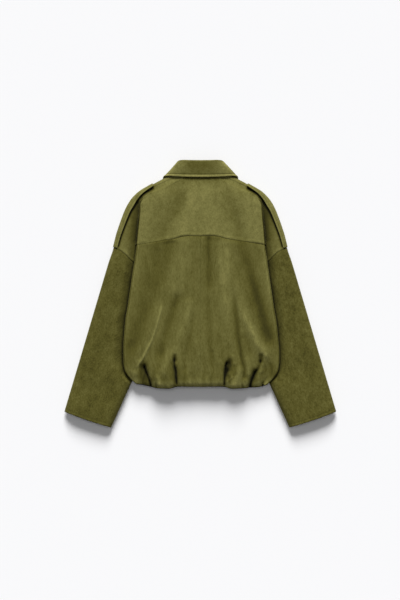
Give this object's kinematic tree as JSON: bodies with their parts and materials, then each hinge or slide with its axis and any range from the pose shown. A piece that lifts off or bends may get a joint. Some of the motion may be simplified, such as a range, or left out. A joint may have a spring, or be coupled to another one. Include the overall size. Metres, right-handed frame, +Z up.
{
  "type": "faux suede jacket, laid flat",
  "caption": "Cropped olive faux suede jacket with back yoke, drop shoulders, shoulder tabs and shirt collar, lying flat with its back up.",
  "frame": {"origin": "on the table under the middle of the jacket's outline", "axes": "+Z up off the table, +Y towards the collar, -Y towards the hem; the back faces up, so -X is the wearer's left"},
  "size_m": [0.7348, 0.7237, 0.0469],
  "materials": {
    "suede": "brushed nap",
    "buttons": "satin"
  },
  "bodies": {
    "root": {"back_yoke": "suede", "back_left": "suede", "back_right": "suede", "front_left": "suede", "front_right": "suede", "sleeve_left": "suede", "sleeve_right": "suede", "collar_stand": "suede", "collar_fall": "suede", "epaulette_left": "suede", "epaulette_right": "suede", "epaulette_button_left": "buttons", "epaulette_button_right": "buttons", "front_button_1": "buttons", "front_button_2": "buttons", "front_button_3": "buttons", "front_button_4": "buttons", "front_button_5": "buttons"}
  },
  "joints": []
}
